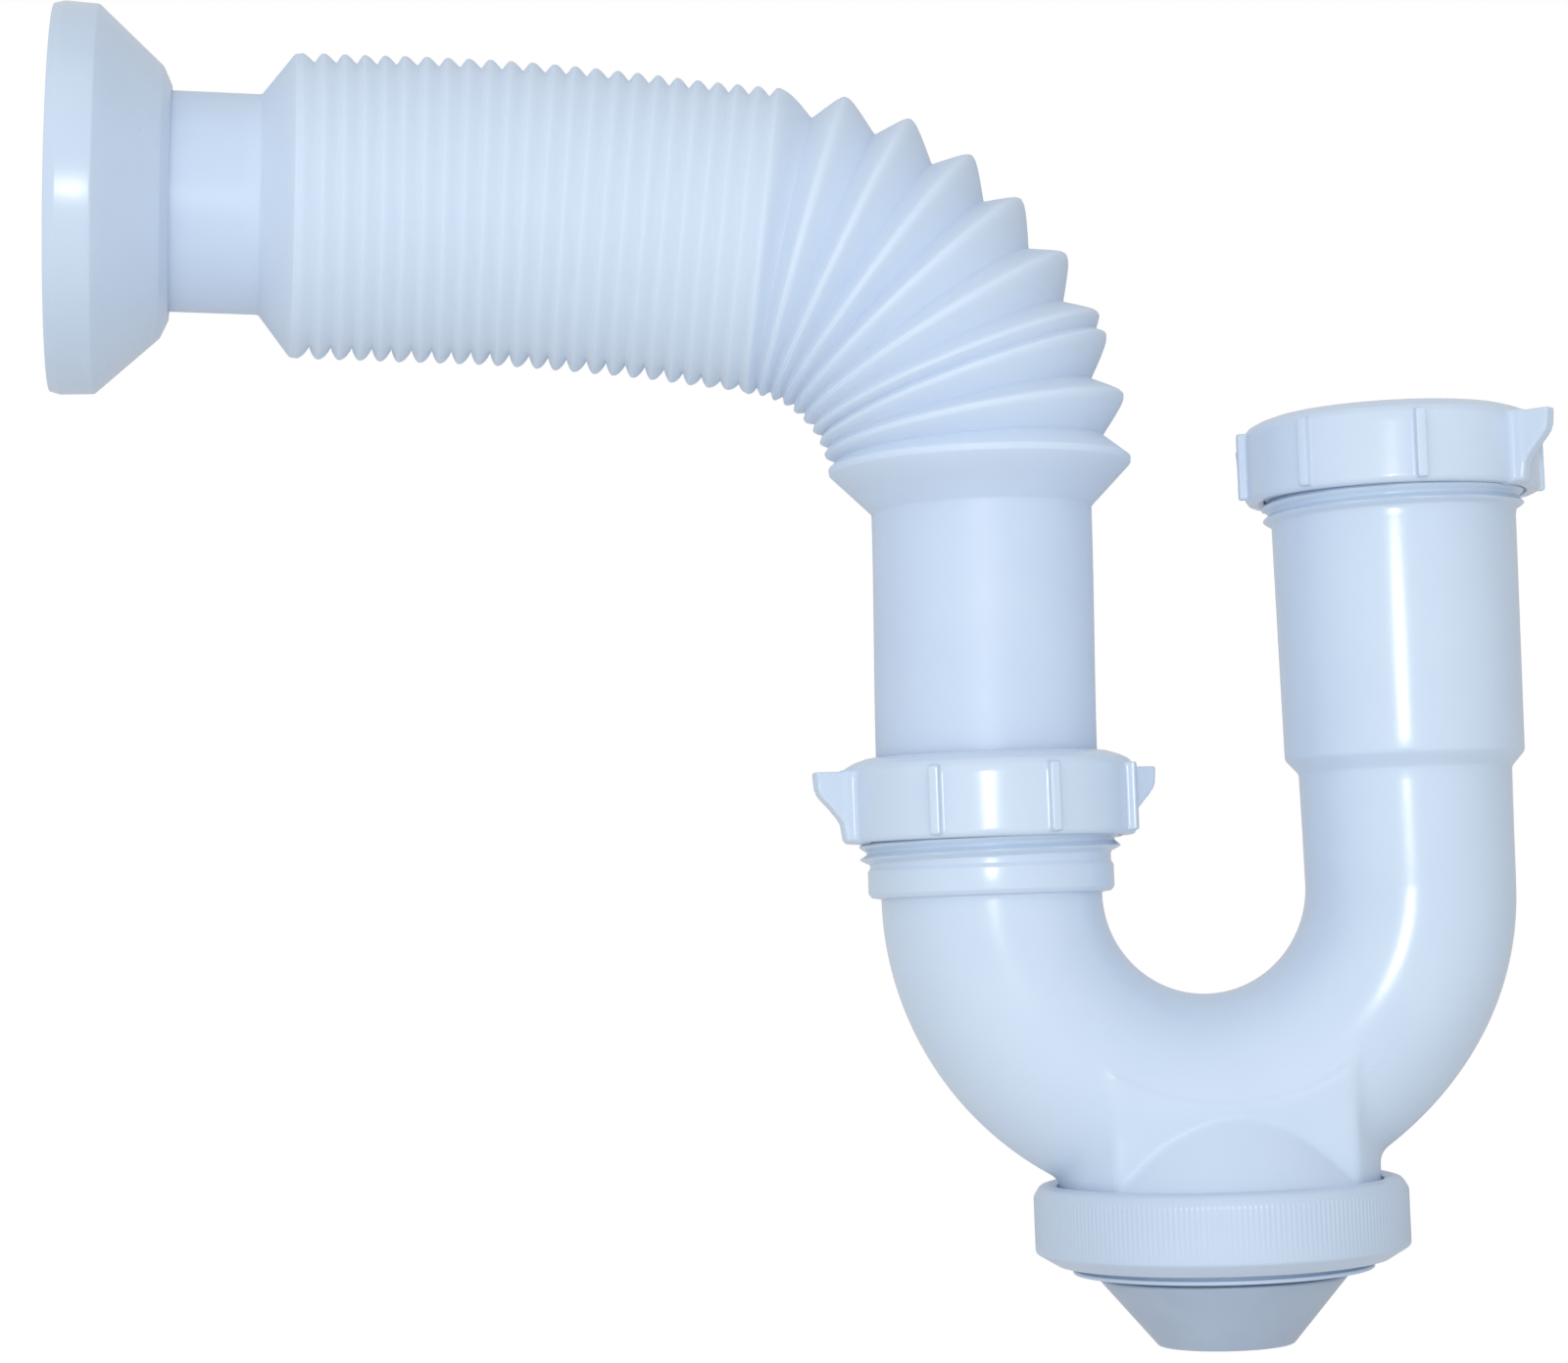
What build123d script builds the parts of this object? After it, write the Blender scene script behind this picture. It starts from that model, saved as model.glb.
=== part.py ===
from build123d import *
import os
from math import sin, cos, tan, radians, hypot, atan2, sqrt

os.makedirs("parts", exist_ok=True)

# ---------------------------------------------------------------- driving dimensions (mm)
# The trap hangs as installed: +Z is up along the inlet leg, the U lies in the XZ plane,
# and the origin is the middle of the inlet socket's mouth.

# U-bend moulding
LEG_SPACING = 76.8        # inlet leg axis to outlet arm axis
BEND_R = LEG_SPACING / 2  # centreline radius of the U
BEND_Z = -79.3            # height of the bend's centre
TUBE_R = 19.4             # outside radius of the tube
TUBE_WALL = 2.0
TUBE_RI = TUBE_R - TUBE_WALL
SEAM_Z = -59.1            # the long inlet sleeve is stored as a part of its own above this height
OUTLET_X = -LEG_SPACING
OUTLET_Z = -59.4          # mouth of the outlet socket

# slip-joint sockets, for a 40 mm pipe
SOCKET_BORE = 20.3
THREAD_ROOT = 22.15       # root of the outside thread, whose ridge reaches 23.9
THREAD_PITCH = 2.309
MOUTH_BEVEL_R = 21.6
MOUTH_BEVEL_H = 2.2
SLEEVE_FOOT_R = 21.75     # the long inlet sleeve narrows a little downwards
SLEEVE_FOOT_Z = -54.6
SLEEVE_STOP_Z = -53.6
OUTLET_STOP = -15.0       # pipe stop, below the outlet mouth
OUTLET_BAND = -15.9       # foot of the socket band, below the outlet mouth

# slip nuts
NUT_R = 26.7
NUT_CHAMBER_R = 24.2
NUT_BORE = 20.9
NUT_FOOT = -8.7           # below the mouth
NUT_RIM = 4.2             # above the mouth
NUT_TOP = 6.7
NUT_ROOF = 3.2            # underside of the inward lip
RIB_R = 29.2
RIB_W = 2.1
WING_R = 34.9
WING_T = 2.7
INLET_RIB_ANGLE = -1.5    # degrees from the front (-Y) towards +X
OUTLET_RIB_ANGLE = 19.1
INLET_WING_ANGLE = 43.5
OUTLET_WING_ANGLE = 109.1

# tapered washers
WASHER_RI = 20.25
WASHER_RO = 23.2
GAP = 0.2                 # running gap between seated pieces that come apart

# cleanout
CLEAN_X = -37.4
BOSS_R = 28.7
BOSS_RI = 25.9
BOSS_END_Z = -141.0
BOSS_ROUND_Z = -132.0     # below this the boss is a full round
BOSS_CONE_TOP_Z = -114.0
BOSS_CONE_TOP_R = 16.1
RING_R = 33.7
RING_TOP_Z = -131.3
RING_FOOT_Z = -144.1
RING_LIP_R = 27.1
RING_END_Z = -149.0
RING_CAVITY_R = 30.2
RING_HOLE_R = 22.9
CLEAN_PITCH = 3.0
CUP_R = 22.25
CUP_END_R = 12.25
CUP_END_Z = -161.0
CUP_FLANGE_R = 27.6

# flexible hose
CUFF_R = 20.0
CUFF_RI = 18.5
CUFF_END = -14.0          # end of the cuff, below the outlet mouth
FOLD_WALL = 1.1           # measured along the radius
SHOULDER_Z = -0.3         # rim of the shoulder over the outlet cuff
SHOULDER_FOOT_Z = -8.4
SHOULDER_R = 27.6
FAR_CUFF_END = 42.9       # from the first fold's crest to the far cuff's end, along its axis
FAR_SHOULDER = 1.2
FAR_SHOULDER_FOOT = 6.8

# wall flange (rosette)
FLANGE_R = 34.7
FLANGE_RIM_W = 8.1
FLANGE_CONE_R = 24.6
FLANGE_CONE_W = 19.7
FLANGE_W = 21.2
FLANGE_BORE = 20.9
FLANGE_WALL = 1.9
FLANGE_FACE = 43.8        # wall face of the flange, from the first fold's crest

# Crests of the hose's folds, from the wall end to the trap: centre x, centre z,
# tilt of the axis (0 = level, 90 = upright), radius.
CRESTS = [
    (-198.6, 50.8, 2.4, 27.5), (-194.6, 50.65, 2.4, 27.6), (-190.8, 50.5, 2.4, 27.6),
    (-187.1, 50.35, 2.4, 27.6), (-183.5, 50.2, 2.5, 27.65), (-180.0, 50.05, 2.6, 27.7),
    (-176.1, 49.9, 2.8, 27.7), (-172.4, 49.7, 3.1, 27.7), (-168.7, 49.5, 3.5, 27.7),
    (-165.0, 49.3, 3.9, 27.7), (-161.4, 49.0, 4.3, 27.7), (-157.7, 48.7, 4.8, 27.7),
    (-153.8, 48.3, 5.3, 27.7), (-150.3, 47.9, 5.7, 27.7), (-146.7, 47.5, 6.1, 27.7),
    (-142.8, 47.0, 6.4, 27.7), (-139.3, 46.6, 6.6, 27.7), (-135.6, 46.1, 6.8, 27.7),
    (-132.1, 45.6, 6.9, 27.7), (-128.5, 45.05, 7.0, 27.75), (-125.0, 44.5, 7.2, 27.8),
    (-121.6, 44.0, 7.3, 27.85), (-118.1, 43.5, 7.5, 27.9), (-114.7, 43.0, 8.0, 28.0),
    (-107.3, 41.6, 17.4, 28.2), (-100.3, 38.9, 27.9, 28.3), (-93.8, 34.8, 39.0, 28.2),
    (-88.6, 29.8, 49.2, 28.1), (-83.8, 23.6, 60.2, 28.1), (-80.3, 17.0, 70.0, 28.0),
    (-79.2, 14.1, 71.9, 27.8), (-77.4, 7.2, 81.0, 27.7),
]
# Roots between them, the last one against the shoulder.
ROOTS = [
    (-196.6, 50.75, 2.4, 25.5), (-192.7, 50.6, 2.4, 25.5), (-189.0, 50.45, 2.4, 25.5),
    (-185.3, 50.3, 2.45, 25.55), (-181.7, 50.1, 2.55, 25.6), (-178.0, 50.0, 2.7, 25.6),
    (-174.3, 49.8, 2.9, 25.6), (-170.6, 49.6, 3.3, 25.6), (-166.9, 49.4, 3.7, 25.6),
    (-163.2, 49.15, 4.1, 25.6), (-159.5, 48.85, 4.5, 25.6), (-155.8, 48.5, 5.0, 25.6),
    (-152.0, 48.1, 5.5, 25.6), (-148.5, 47.7, 5.9, 25.6), (-144.8, 47.25, 6.2, 25.6),
    (-141.1, 46.8, 6.5, 25.6), (-137.5, 46.35, 6.7, 25.6), (-133.8, 45.85, 6.8, 25.6),
    (-130.3, 45.3, 6.9, 25.6), (-126.8, 44.8, 7.1, 25.65), (-123.3, 44.25, 7.2, 25.7),
    (-119.8, 43.75, 7.4, 25.8), (-116.4, 43.25, 7.7, 25.9),
    (-110.8, 40.9, 13.2, 24.8), (-103.8, 38.6, 24.0, 24.9), (-97.5, 35.1, 34.9, 24.7),
    (-91.8, 30.7, 45.7, 24.7), (-86.9, 25.2, 56.5, 24.8), (-83.1, 19.0, 66.6, 24.8),
    (-79.6, 15.3, 71.4, 26.4), (-79.6, 9.5, 78.0, 24.3), (-78.2, 2.9, 87.0, 24.1),
]
# The hose leaves the plane of the U a little: its bend leans 2 degrees away from the front,
# and the level stretch then bows back. Degrees against x.
BOW = [(-76.8, -2.0), (-110.0, -2.0), (-125.0, -1.2), (-153.0, 1.0), (-201.0, 6.5), (-260.0, 6.5)]


def bow_angle(x):
    for (xa, a), (xb, b) in zip(BOW[:-1], BOW[1:]):
        if xb <= x <= xa:
            return a + (b - a) * (xa - x) / (xa - xb)
    return BOW[0][1] if x > BOW[0][0] else BOW[-1][1]


def bow_y(x, step=0.5):
    y, t = 0.0, BOW[0][0]
    if x >= t:
        return (t - x) * tan(radians(2.0)) * -1.0
    while t - x > 1e-9:
        s = min(step, t - x)
        y -= s * tan(radians(bow_angle(t - s / 2)))
        t -= s
    return y


def axis_at(x, tilt):
    """Direction of the hose's axis, towards the wall end."""
    a, b = radians(bow_angle(x)), radians(tilt)
    return Vector(-cos(b) * cos(a), -cos(b) * sin(a), sin(b))


# ---------------------------------------------------------------- helpers
def outline(points):
    """Closed outline of straight lines; a point's third number rounds its corner."""
    n = len(points)
    ends, arcs = [], []
    for i, p in enumerate(points):
        r = p[2] if len(p) > 2 else 0
        a, b = points[i - 1], points[(i + 1) % n]
        if not r:
            ends.append(((p[0], p[1]), (p[0], p[1])))
            arcs.append(None)
            continue
        ux, uy = a[0] - p[0], a[1] - p[1]
        vx, vy = b[0] - p[0], b[1] - p[1]
        lu, lv = hypot(ux, uy), hypot(vx, vy)
        ux, uy, vx, vy = ux / lu, uy / lu, vx / lv, vy / lv
        half = atan2(abs(ux * vy - uy * vx), ux * vx + uy * vy) / 2
        d = r / tan(half)
        s, e = (p[0] + ux * d, p[1] + uy * d), (p[0] + vx * d, p[1] + vy * d)
        bx, by = ux + vx, uy + vy
        lb = hypot(bx, by)
        c = r / sin(half)
        m = (p[0] + bx / lb * (c - r), p[1] + by / lb * (c - r))
        ends.append((s, e))
        arcs.append(m)
    edges = []
    for i in range(n):
        if arcs[i]:
            edges.append(ThreePointArc(ends[i][0], arcs[i], ends[i][1]))
        s, e = ends[i][1], ends[(i + 1) % n][0]
        if hypot(s[0] - e[0], s[1] - e[1]) > 1e-6:
            edges.append(Line(s, e))
    return make_face(edges)


def turned(points, x=0.0, z=0.0):
    """Solid of revolution about the upright axis through x; points are (radius, height)."""
    return Pos(x, 0, z) * revolve(Plane.XZ * outline(points), Axis.Z, 360)


def half_ring(radius):
    """Lower half of the U."""
    disc = Plane((0, 0, BEND_Z), z_dir=(0, 0, 1)) * Circle(radius)
    down = revolve(disc, Axis((-BEND_R, 0, BEND_Z), (0, 1, 0)), 180)
    if down.bounding_box().min.Z > BEND_Z - 10:
        down = revolve(disc, Axis((-BEND_R, 0, BEND_Z), (0, -1, 0)), 180)
    return down


def one(shape):
    """The single solid of a shape."""
    solids = shape.solids()
    assert len(solids) == 1, len(solids)
    return solids[0]


# ---------------------------------------------------------------- trap body, one moulding
def bend_disc(radius):
    """Disc across the U, inside its centreline."""
    return Pos(-BEND_R, 0, BEND_Z) * Rot(90, 0, 0) * Cylinder(radius, 3 * TUBE_R)


def moulding():
    leg = turned([
        (0, BEND_Z), (TUBE_R, BEND_Z), (TUBE_R, -58.2, 1.5), (SLEEVE_FOOT_R, SLEEVE_FOOT_Z - 1.2, 1.6),
        (THREAD_ROOT, -12.0), (THREAD_ROOT, 0, 0.3), (0, 0)])
    arm = turned([
        (0, BEND_Z - OUTLET_Z), (TUBE_R, BEND_Z - OUTLET_Z), (TUBE_R + 0.4, -18.9),
        (THREAD_ROOT, OUTLET_BAND - 0.7, 1.6), (THREAD_ROOT, 0, 0.3), (0, 0)], OUTLET_X, OUTLET_Z)
    bend = half_ring(TUBE_R)
    tall = -108 - BOSS_END_Z
    boss_slab = Pos(CLEAN_X, 0, BOSS_END_Z + tall / 2) * (
        Cylinder(BOSS_R, tall) & Box(80, 2 * TUBE_R, tall)) - bend_disc(BEND_R - 3)
    boss_round = turned([
        (0, BOSS_CONE_TOP_Z), (BOSS_CONE_TOP_R, BOSS_CONE_TOP_Z), (BOSS_R, BOSS_ROUND_Z),
        (BOSS_R, BOSS_END_Z, 0.4), (0, BOSS_END_Z)], CLEAN_X)
    outer = bend + leg + arm + boss_slab + boss_round

    leg_in = turned([
        (0, BEND_Z), (TUBE_RI, BEND_Z), (TUBE_RI, -56.8), (SOCKET_BORE, SLEEVE_STOP_Z),
        (SOCKET_BORE, -MOUTH_BEVEL_H), (MOUTH_BEVEL_R, 0), (MOUTH_BEVEL_R, 1), (0, 1)])
    arm_in = turned([
        (0, BEND_Z - OUTLET_Z), (TUBE_RI, BEND_Z - OUTLET_Z), (TUBE_RI, OUTLET_STOP - 3.0),
        (SOCKET_BORE, OUTLET_STOP), (SOCKET_BORE, -MOUTH_BEVEL_H), (MOUTH_BEVEL_R, 0),
        (MOUTH_BEVEL_R, 1), (0, 1)], OUTLET_X, OUTLET_Z)
    bend_in = half_ring(TUBE_RI)
    low, high = BOSS_END_Z - 1, -112.0
    slab_in = Pos(CLEAN_X, 0, (low + high) / 2) * (
        Cylinder(BOSS_RI, high - low) & Box(80, 2 * TUBE_RI, high - low)) - bend_disc(BEND_R - 1.5)
    round_in = turned([
        (0, BOSS_CONE_TOP_Z - 1.5), (BOSS_CONE_TOP_R - 1.9, BOSS_CONE_TOP_Z - 1.5),
        (BOSS_RI, BOSS_ROUND_Z - 0.6), (BOSS_RI, low), (0, low)], CLEAN_X)
    inner = bend_in + leg_in + arm_in + slab_in + round_in
    return one(outer - inner)


def trap_body():
    return one(split(moulding(), Plane(origin=(0, 0, SEAM_Z)), keep=Keep.BOTTOM))


def inlet_sleeve():
    return one(split(moulding(), Plane(origin=(0, 0, SEAM_Z)), keep=Keep.TOP))


# ---------------------------------------------------------------- slip nut and washer
def slip_nut(x, z, rib_angle, wing_angle):
    shell = turned([
        (NUT_BORE, NUT_TOP, 0.4), (21.9, NUT_TOP, 0.6), (NUT_R, NUT_RIM, 1.6),
        (NUT_R, NUT_FOOT + 1.8, 0.5), (NUT_R - 1.8, NUT_FOOT, 0.3), (NUT_CHAMBER_R + 0.35, NUT_FOOT),
        (NUT_CHAMBER_R, NUT_FOOT + 0.6), (NUT_CHAMBER_R, NUT_ROOF, 0.6), (NUT_BORE, NUT_ROOF)])
    lug = None
    for k in range(8):
        a = rib_angle + 45 * k
        piece = Rot(0, 0, a) * (Pos(0, -(NUT_R - 1.2 + RIB_R) / 2, -1.6) * Box(
            RIB_W, RIB_R - NUT_R + 1.2, 11.6))
        lug = piece if lug is None else lug + piece
    for k in range(2):
        a = wing_angle + 180 * k
        fin = extrude(Plane.YZ * outline([
            (-(NUT_R - 1.2), 3.6), (-WING_R, 3.6, 0.8), (-WING_R + 0.3, -0.4, 1.0),
            (-30.6, -5.0, 2.0), (-28.4, -8.0), (-(NUT_R - 1.2), -8.2)]), WING_T / 2, both=True)
        lug = lug + Rot(0, 0, a) * fin
    return one(Pos(x, 0, z) * (shell + lug))


def washer(x, z):
    return one(turned([
        (WASHER_RI, 3.0, 0.3), (WASHER_RO, 3.0, 0.5), (WASHER_RO, GAP, 0.3), (21.3, GAP),
        (20.5, -1.7), (WASHER_RI, -1.7)], x, z))


# ---------------------------------------------------------------- cleanout
def cleanout_ring_nut():
    return one(turned([
        (RING_CAVITY_R, RING_TOP_Z, 0.4), (RING_R, RING_TOP_Z, 2.4), (RING_R, RING_FOOT_Z, 0.6),
        (RING_LIP_R, RING_END_Z + 1.2), (RING_LIP_R, RING_END_Z, 0.2), (RING_HOLE_R, RING_END_Z),
        (RING_HOLE_R, -145.4), (28.3, -145.4, 0.4), (28.3, -142.9), (RING_CAVITY_R, -141.9)], CLEAN_X))


def cleanout_cup():
    # flange on top, a neck through the ring nut's hole, and a plain cone with a flat end
    return one(turned([
        (20.6, -143.4), (CUP_FLANGE_R, -143.4), (CUP_FLANGE_R, -145.2, 0.2), (22.55, -145.2),
        (22.55, -149.55), (CUP_R, -149.75), (CUP_END_R, CUP_END_Z, 0.5), (0, CUP_END_Z),
        (0, CUP_END_Z + 1.8), (CUP_END_R - 1.3, CUP_END_Z + 1.8), (20.6, -149.4)], CLEAN_X))


def cleanout_gasket():
    return one(turned([
        (23.2, -143.4), (27.7, -143.4), (27.7, BOSS_END_Z - GAP, 0.3), (23.2, BOSS_END_Z - GAP, 0.3)],
        CLEAN_X))


# ---------------------------------------------------------------- flexible hose, one blow-moulded piece
FAR_ORIGIN = Vector(CRESTS[0][0], bow_y(CRESTS[0][0]), CRESTS[0][1])
FAR_AXIS = axis_at(-202.0, 2.4)


def circle_wire(centre, axis, radius):
    side = Vector(axis.Z, 0, -axis.X)          # the outside of the bend
    return Wire.make_circle(radius, Plane(origin=centre, x_dir=side, z_dir=axis))


def hose_skin(inner):
    """Stations from the outlet cuff's end to the far cuff's end."""
    up = Vector(0, 0, 1)
    out = []

    def upright(z, r):
        out.append((Vector(OUTLET_X, 0, z), up, r))

    def far(d, r):
        out.append((FAR_ORIGIN + FAR_AXIS * d, FAR_AXIS, r))

    w = FOLD_WALL if inner else 0.0
    end = OUTLET_Z + CUFF_END
    if inner:
        upright(end - 1, CUFF_RI)
        upright(SHOULDER_FOOT_Z + 0.8, CUFF_RI)
        upright(SHOULDER_Z - 0.35, SHOULDER_R - 1.2)
    else:
        upright(end, CUFF_R - 0.6)
        upright(end + 1.2, CUFF_R)
        upright(SHOULDER_FOOT_Z, CUFF_R)
        upright(SHOULDER_Z - 0.6, SHOULDER_R)
        upright(SHOULDER_Z + 0.2, SHOULDER_R)
    folds = []
    for c, r in zip(CRESTS, ROOTS):
        folds += [(c, True), (r, False)]
    for (x, z, tilt, rad), crest in reversed(folds):
        centre, axis = Vector(x, bow_y(x), z), axis_at(x, tilt)
        if crest and x != CRESTS[0][0] and not inner:
            out.append((centre - axis * 0.25, axis, rad))
            out.append((centre + axis * 0.25, axis, rad))
        else:
            out.append((centre, axis, rad - w))
    if inner:
        far(FAR_SHOULDER - 0.3, 26.2)
        far(FAR_SHOULDER_FOOT - 0.8, CUFF_RI)
        far(FAR_CUFF_END + 1, CUFF_RI)
    else:
        far(FAR_SHOULDER, 27.4)
        far(FAR_SHOULDER_FOOT, CUFF_R)
        far(FAR_CUFF_END - 1.2, CUFF_R)
        far(FAR_CUFF_END, CUFF_R - 0.6)
    rings = [circle_wire(*s) for s in out]
    faces = [Face(rings[0]), Face(rings[-1])]
    for a, b in zip(rings[:-1], rings[1:]):
        faces += [f for f in Solid.make_loft([a, b], True).faces() if f.geom_type != GeomType.PLANE]
    return Solid(Shell(faces))


def flexible_hose():
    return one(hose_skin(False) - hose_skin(True))


# ---------------------------------------------------------------- wall flange
def wall_flange():
    """A shell, open towards the wall, that slides on the far cuff. Drawn along +Z from its wall face."""
    t = FLANGE_WALL
    shell = turned([
        (FLANGE_R - t, 0), (FLANGE_R, 0, 0.5), (FLANGE_R, FLANGE_RIM_W, 0.5),
        (FLANGE_CONE_R, FLANGE_CONE_W, 0.8), (FLANGE_BORE + 0.5, FLANGE_W, 0.3),
        (FLANGE_BORE, FLANGE_W), (FLANGE_BORE, FLANGE_W - 5.0), (FLANGE_BORE + 1.4, FLANGE_W - 5.0),
        (FLANGE_BORE + 1.4, FLANGE_CONE_W - 0.6), (FLANGE_CONE_R - 1.2, FLANGE_CONE_W - 1.6, 0.5),
        (FLANGE_R - t, FLANGE_RIM_W - 0.9, 0.5)])
    face = FAR_ORIGIN + FAR_AXIS * FLANGE_FACE
    return one(Plane(origin=face, z_dir=FAR_AXIS * -1).location * shell)


PARTS = {
    "trap_body": trap_body,
    "inlet_sleeve": inlet_sleeve,
    "inlet_nut": lambda: slip_nut(0, 0, INLET_RIB_ANGLE, INLET_WING_ANGLE),
    "inlet_washer": lambda: washer(0, 0),
    "outlet_nut": lambda: slip_nut(OUTLET_X, OUTLET_Z, OUTLET_RIB_ANGLE, OUTLET_WING_ANGLE),
    "outlet_washer": lambda: washer(OUTLET_X, OUTLET_Z),
    "cleanout_ring_nut": cleanout_ring_nut,
    "cleanout_cup": cleanout_cup,
    "cleanout_gasket": cleanout_gasket,
    "flexible_hose": flexible_hose,
    "wall_flange": wall_flange,
}

for name, make in PARTS.items():
    shape = make()
    assert shape.is_valid, name
    export_step(shape, "parts/%s.step" % name)

print("far origin", FAR_ORIGIN, "far axis", FAR_AXIS)
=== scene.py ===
import math

import bmesh
import bpy
import numpy as np
from mathutils import Matrix, Vector


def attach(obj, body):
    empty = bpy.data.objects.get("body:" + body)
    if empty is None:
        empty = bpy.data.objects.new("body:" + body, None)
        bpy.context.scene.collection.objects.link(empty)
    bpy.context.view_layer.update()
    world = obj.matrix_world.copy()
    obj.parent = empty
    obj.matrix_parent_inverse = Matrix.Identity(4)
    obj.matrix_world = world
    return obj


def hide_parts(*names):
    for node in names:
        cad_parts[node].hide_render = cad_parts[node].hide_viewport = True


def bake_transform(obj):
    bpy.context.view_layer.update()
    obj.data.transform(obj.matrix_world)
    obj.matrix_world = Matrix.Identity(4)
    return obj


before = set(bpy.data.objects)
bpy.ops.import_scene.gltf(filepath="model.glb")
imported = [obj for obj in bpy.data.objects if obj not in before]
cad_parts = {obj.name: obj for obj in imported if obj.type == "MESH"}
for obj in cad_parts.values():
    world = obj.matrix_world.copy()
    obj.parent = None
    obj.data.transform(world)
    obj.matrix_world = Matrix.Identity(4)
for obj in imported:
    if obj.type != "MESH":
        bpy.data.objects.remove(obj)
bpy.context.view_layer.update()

MM = 0.001
PI2 = 2 * math.pi

# ================================================================ camera (mm, in the part's frame)
EYE = np.array([-145.15, -621.08, -81.66])
YAW, PITCH, ROLL = (math.radians(a) for a in (2.95, 3.95, 2.0))


def make_camera():
    ahead = np.array([math.sin(YAW) * math.cos(PITCH), math.cos(YAW) * math.cos(PITCH), math.sin(PITCH)])
    right = np.array([math.cos(YAW), -math.sin(YAW), 0.0])
    up = np.cross(right, ahead)
    u = up * math.cos(ROLL) + right * math.sin(ROLL)
    r = right * math.cos(ROLL) - up * math.sin(ROLL)
    data = bpy.data.cameras.new("camera")
    data.lens, data.sensor_width, data.sensor_fit = 78.75, 36.0, "HORIZONTAL"
    data.clip_start, data.clip_end = 0.02, 60.0
    cam = bpy.data.objects.new("camera", data)
    bpy.context.scene.collection.objects.link(cam)
    cam.matrix_world = Matrix([
        [r[0], u[0], -ahead[0], EYE[0] * MM],
        [r[1], u[1], -ahead[1], EYE[1] * MM],
        [r[2], u[2], -ahead[2], EYE[2] * MM],
        [0, 0, 0, 1]])
    bpy.context.scene.camera = cam
    return ahead, u, r


AHEAD, CAM_UP, CAM_RIGHT = make_camera()


# ================================================================ mesh helpers (all in mm)
def piece(name, verts, faces, mat, body=None, angle=38.0, orient=True):
    """A smooth-shaded mesh object, placed where its vertices say."""
    me = bpy.data.meshes.new(name)
    me.from_pydata((np.asarray(verts, float) * MM).tolist(), [], [list(f) for f in faces])
    me.update()
    if orient:
        bm = bmesh.new()
        bm.from_mesh(me)
        bmesh.ops.recalc_face_normals(bm, faces=bm.faces)
        bm.to_mesh(me)
        bm.free()
    me.shade_smooth()
    me.set_sharp_from_angle(angle=math.radians(angle))
    me.materials.append(mat)
    ob = bpy.data.objects.new(name, me)
    bpy.context.scene.collection.objects.link(ob)
    if body:
        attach(ob, body)
    return ob


def rounded(points, step=0.35, close=True):
    """Polyline with its corners rounded. A point is (r, z) or (r, z, fillet radius)."""
    out = []
    n = len(points)
    for i, p in enumerate(points):
        rad = p[2] if len(p) > 2 else 0.0
        if not rad or (not close and i in (0, n - 1)):
            out.append((p[0], p[1]))
            continue
        a, b = points[i - 1], points[(i + 1) % n]
        u = np.array([a[0] - p[0], a[1] - p[1]], float)
        v = np.array([b[0] - p[0], b[1] - p[1]], float)
        lu, lv = np.linalg.norm(u), np.linalg.norm(v)
        u, v = u / lu, v / lv
        half = math.acos(max(-1, min(1, float(u @ v)))) / 2
        if abs(half - math.pi / 2) < 1e-3:
            out.append((p[0], p[1]))
            continue
        rad = min(rad, 0.49 * min(lu, lv) * math.tan(half))
        s = np.array(p[:2]) + u * rad / math.tan(half)
        e = np.array(p[:2]) + v * rad / math.tan(half)
        bis = (u + v) / np.linalg.norm(u + v)
        c = np.array(p[:2]) + bis * rad / math.sin(half)
        a0, a1 = math.atan2(*(s - c)[::-1]), math.atan2(*(e - c)[::-1])
        turn = (a1 - a0 + math.pi) % PI2 - math.pi
        k = max(3, int(math.ceil(abs(turn) * rad / step)))
        for j in range(k + 1):
            t = a0 + turn * j / k
            out.append((c[0] + rad * math.cos(t), c[1] + rad * math.sin(t)))
    return out


def spaced(points, gap, close=True):
    """Splits runs longer than gap."""
    out = []
    n = len(points)
    for i in range(n if close else n - 1):
        a, b = points[i], points[(i + 1) % n]
        k = max(1, int(math.ceil(math.hypot(b[0] - a[0], b[1] - a[1]) / gap)))
        for j in range(k):
            out.append((a[0] + (b[0] - a[0]) * j / k, a[1] + (b[1] - a[1]) * j / k))
    if not close:
        out.append(points[-1])
    return out


def ring_faces(first_a, first_b, n):
    i = np.arange(n)
    j = (i + 1) % n
    return np.stack([first_a + i, first_a + j, first_b + j, first_b + i], 1).tolist()


def turned(profile, segments, cx=0.0, cz=0.0, closed=True, bump=None):
    """Surface of revolution about the upright axis at cx. bump(theta, r, z) changes the radius."""
    th = np.arange(segments) * PI2 / segments
    rows, faces, verts, count = [], [], [], 0
    for r, z in profile:
        if r < 1e-9:
            verts.append(np.array([[cx, 0.0, cz + z]]))
            rows.append((count, 1))
            count += 1
            continue
        rr = np.full(segments, r)
        if bump is not None:
            rr = rr + bump(th, r, z)
        verts.append(np.stack([cx + rr * np.cos(th), rr * np.sin(th), np.full(segments, cz + z)], 1))
        rows.append((count, segments))
        count += segments
    pairs = list(zip(rows[:-1], rows[1:]))
    if closed:
        pairs.append((rows[-1], rows[0]))
    for (a, na), (b, nb) in pairs:
        if na == 1 and nb == 1:
            continue
        if na == 1:
            faces += [[a, b + (i + 1) % nb, b + i] for i in range(nb)]
        elif nb == 1:
            faces += [[a + i, a + (i + 1) % na, b] for i in range(na)]
        else:
            faces += ring_faces(a, b, na)
    return np.concatenate(verts), faces


# ---------------------------------------------------------------- implicit shapes
def smin(a, b, k):
    h = np.maximum(k - np.abs(a - b), 0.0) / k
    return np.minimum(a, b) - h * h * k * 0.25


def smax(a, b, k):
    return -smin(-a, -b, k)


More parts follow.
